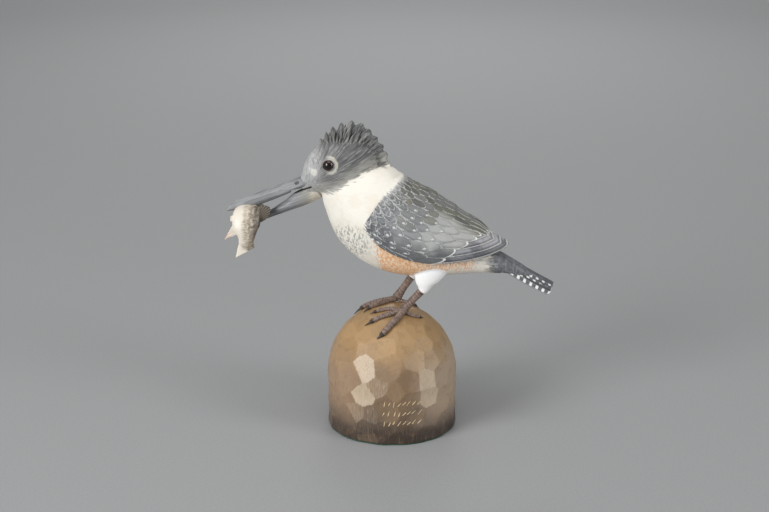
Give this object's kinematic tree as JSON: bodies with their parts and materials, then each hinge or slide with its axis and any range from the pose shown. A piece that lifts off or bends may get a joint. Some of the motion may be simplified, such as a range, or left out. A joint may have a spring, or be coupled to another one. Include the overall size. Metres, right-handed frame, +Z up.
{
  "type": "kingfisher carving",
  "caption": "Painted wooden kingfisher with a fish across its open bill, standing on a rounded, knife-dressed rock of wood.",
  "frame": {"origin": "middle of the felt pad's underside, on the surface that the carving stands on", "axes": "+Z up, -X where the bill points, -Y the bird's left side"},
  "size_m": [0.302, 0.1199, 0.2917],
  "materials": {
    "bird_paint": "carved wood with matt slate grey, white and rust paint",
    "eye_glass": "polished dark brown glass",
    "fish_paint": "carved wood with satin cream and brown paint",
    "leg_paint": "carved scutes under dark brown paint",
    "rock_stain": "knife-cut wood, stained tan to grey brown, satin",
    "felt": "green felt"
  },
  "bodies": {
    "root": {"kingfisher": "bird_paint", "left_eye": "eye_glass", "right_eye": "eye_glass", "fish": "fish_paint", "left_leg": "leg_paint", "right_leg": "leg_paint", "rock_base": "rock_stain", "felt_pad": "felt"}
  },
  "joints": []
}
